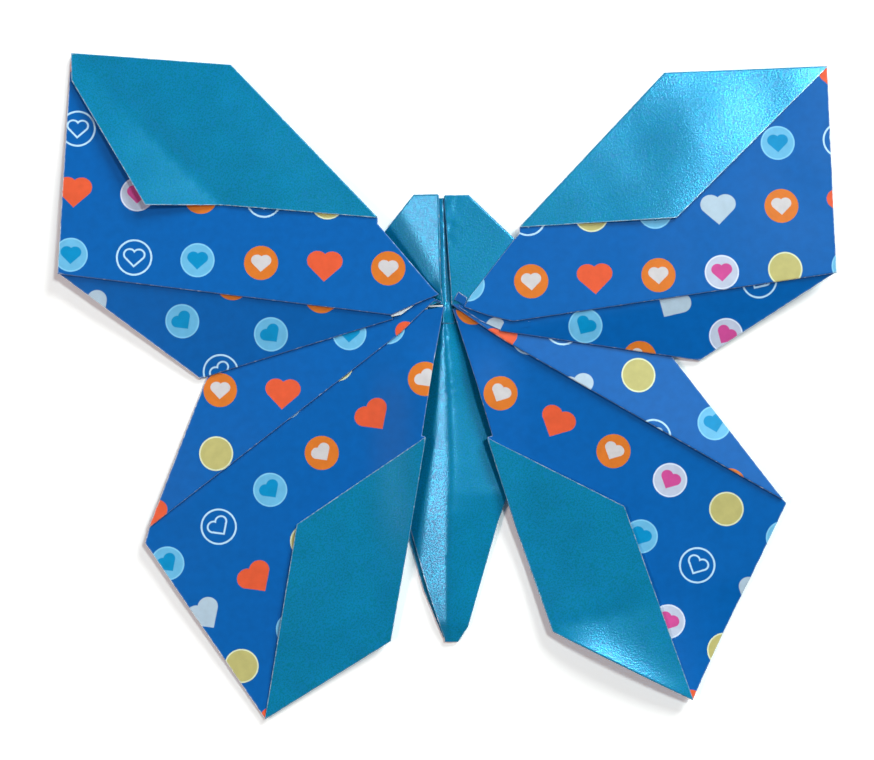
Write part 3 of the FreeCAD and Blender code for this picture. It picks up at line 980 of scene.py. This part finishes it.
# the lamps: place and size in metres, tint, the setting with the power, and whether it makes a glare
LAMPS = {
    "ceiling_lamp": ((0.554, 0.494, 1.38), (0.26, 0.26), "#EDFDFF", "ceiling_power", True),
    "window_lamp": ((0.46, 0.65, 0.41), (0.42, 0.42), "#F6FCFA", "window_power", False),
    "left_lamp": ((-0.46, -0.06, 0.595), (0.6, 0.1), "#FFE8E4", "side_power", True),
}
TABLE_SIZE = 6.0
TABLE_GAP = 0.03 * MM  # how far the table is under the paper, so that they don't touch
SEEN_BRIGHTER = 0.35  # how much brighter the table is seen than it lights the paper
NEAR, FAR = 0.12, 0.45  # metres from the middle: between them the table turns plain white
LOW_SKY, HIGH_SKY = 0.2, 0.45  # sines of heights: between them the white low down turns grey
PLAIN_WHITE = {"Color": linear("#FFFFFF"), "Strength": 1.0}
VIEW_MIDDLE = (-1.49 * MM, 0.91 * MM)  # where the camera looks, from the middle of the butterfly's box


def add_lamp(name, place, size, tint, watts, glares):
    """A soft lamp that shines on the butterfly's middle."""
    data = bpy.data.lights.new(name, "AREA")
    data.shape, data.energy, data.color = "ELLIPSE", watts, linear(tint)[:3]
    data.size, data.size_y = size
    lamp = new_object(name, data)
    lamp.location = place
    lamp.rotation_euler = (-lamp.location).to_track_quat("-Z", "Y").to_euler()
    lamp.visible_glossy = glares


def seen_rays(tree):
    """1 for what the camera sees, straight on, mirrored or through something clear, and 0 for light."""
    rays = add_node(tree, "LightPath").outputs
    seen = calculate(tree, "MAXIMUM", rays["Is Camera Ray"], rays["Is Glossy Ray"])
    return calculate(tree, "MAXIMUM", seen, rays["Is Transmission Ray"])


def table_material(top):
    """A smooth, matt white table top, seen brighter than it lights the paper and plain white far off."""
    material, tree = new_material("matt_white_table")
    maths = partial(calculate, tree)
    seen = seen_rays(tree)
    clouds = object_noise(tree, 60.0, 2.0)
    clouds = add_node(tree, "MapRange", {0: clouds, 1: 0.3, 2: 0.7, 3: 0.985, 4: 1.0}).outputs[0]
    level = maths("MULTIPLY", clouds, maths("MULTIPLY_ADD", seen, SEEN_BRIGHTER, 1.0))
    base = add_node(tree, "HueSaturation", {"Value": level, "Color": top}).outputs[0]
    diffuse = add_node(tree, "BsdfDiffuse", {"Color": base}).outputs[0]
    place = add_node(tree, "TexCoord").outputs["Object"]
    distance = add_node(tree, "VectorMath", {0: place}, operation="LENGTH").outputs["Value"]
    fade = {0: distance, 1: NEAR, 2: FAR}
    far = add_node(tree, "MapRange", fade, interpolation_type="SMOOTHSTEP").outputs[0]
    white = add_node(tree, "Emission", PLAIN_WHITE).outputs[0]
    parts = {0: maths("MULTIPLY", far, seen), 1: diffuse, 2: white}
    add_node(tree, "OutputMaterial", {0: add_node(tree, "MixShader", parts).outputs[0]})
    return material


def add_table(top):
    """The table under the butterfly."""
    half = TABLE_SIZE / 2
    mesh = bpy.data.meshes.new("table_top")
    corners = [(-half, -half), (half, -half), (half, half), (-half, half)]
    mesh.from_pydata([(x, y, -TABLE_GAP) for x, y in corners], [], [(0, 1, 2, 3)])
    mesh.materials.append(table_material(top))
    table = new_object("table_top", mesh)


def add_room(strength):
    """The room: a faint even light, seen as plain white low down behind the table."""
    world = bpy.data.worlds.new("studio_room")
    world.use_nodes = True
    tree = world.node_tree
    tree.nodes.clear()
    room = {"Color": linear("#F2F6FF"), "Strength": strength}
    room, white = (add_node(tree, "Background", inputs).outputs[0] for inputs in (room, PLAIN_WHITE))
    direction = add_node(tree, "TexCoord").outputs["Object"]
    rise = add_node(tree, "SeparateXYZ", {0: direction}).outputs["Z"]
    fade = {0: rise, 1: LOW_SKY, 2: HIGH_SKY, 3: 1.0, 4: 0.0}
    low_down = add_node(tree, "MapRange", fade, interpolation_type="SMOOTHSTEP").outputs[0]
    parts = {0: calculate(tree, "MULTIPLY", low_down, seen_rays(tree)), 1: room, 2: white}
    add_node(tree, "OutputWorld", {0: add_node(tree, "MixShader", parts).outputs[0]})
    bpy.context.scene.world = world


def add_camera(height):
    """The camera, which looks straight down at a point a little left of and above the middle."""
    low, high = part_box("folded_sheet")
    view = bpy.data.cameras.new("camera")
    view.lens, view.sensor_width, view.clip_start = 85.0, 36.0, 0.01
    camera = new_object("camera", view)
    middle = (low + high) / 2
    camera.location = (middle.x + VIEW_MIDDLE[0], middle.y + VIEW_MIDDLE[1], height)
    bpy.context.scene.camera = camera


class SetStage(bpy.types.Operator):
    """Set the table, the lamps and the camera"""

    bl_idname = "butterfly.set_stage"
    bl_label = "Set the stage"

    def execute(self, context):
        studio = context.scene.butterfly_studio
        add_table(studio.table)
        for name, (place, size, tint, setting, glares) in LAMPS.items():
            add_lamp(name, place, size, tint, getattr(studio, setting), glares)
        add_room(studio.room)
        add_camera(studio.camera_height)
        context.scene.view_settings.view_transform = "Standard"
        return {"FINISHED"}


class ButterflyPanel(bpy.types.Panel):
    """Lists the steps that make the butterfly"""

    bl_idname = "VIEW3D_PT_butterfly"
    bl_label = "Origami butterfly"
    bl_space_type = "VIEW_3D"
    bl_region_type = "UI"
    bl_category = "Butterfly"

    def draw(self, context):
        for group in SETTINGS:
            settings = getattr(context.scene, group)
            for name in settings.__annotations__:
                self.layout.prop(settings, name)
        for operator in OPERATORS:
            self.layout.operator(operator.bl_idname)


SETTINGS = {
    "butterfly_paper": PaperSettings,
    "butterfly_inks": InkSettings,
    "butterfly_studio": StudioSettings,
}
OPERATORS = (SetStage, FoldSheet)
CLASSES = (*SETTINGS.values(), *OPERATORS, ButterflyPanel)


def register():
    """Registers the classes and gives the scene its settings."""
    for cls in CLASSES:
        bpy.utils.register_class(cls)
    for name, group in SETTINGS.items():
        setattr(bpy.types.Scene, name, PointerProperty(type=group))


def unregister():
    """Undoes register."""
    for name in SETTINGS:
        delattr(bpy.types.Scene, name)
    for cls in reversed(CLASSES):
        bpy.utils.unregister_class(cls)


def main():
    """Registers the classes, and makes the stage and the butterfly."""
    register()
    bpy.ops.butterfly.set_stage()
    bpy.ops.butterfly.fold_sheet()


if __name__ == "__main__":
    main()
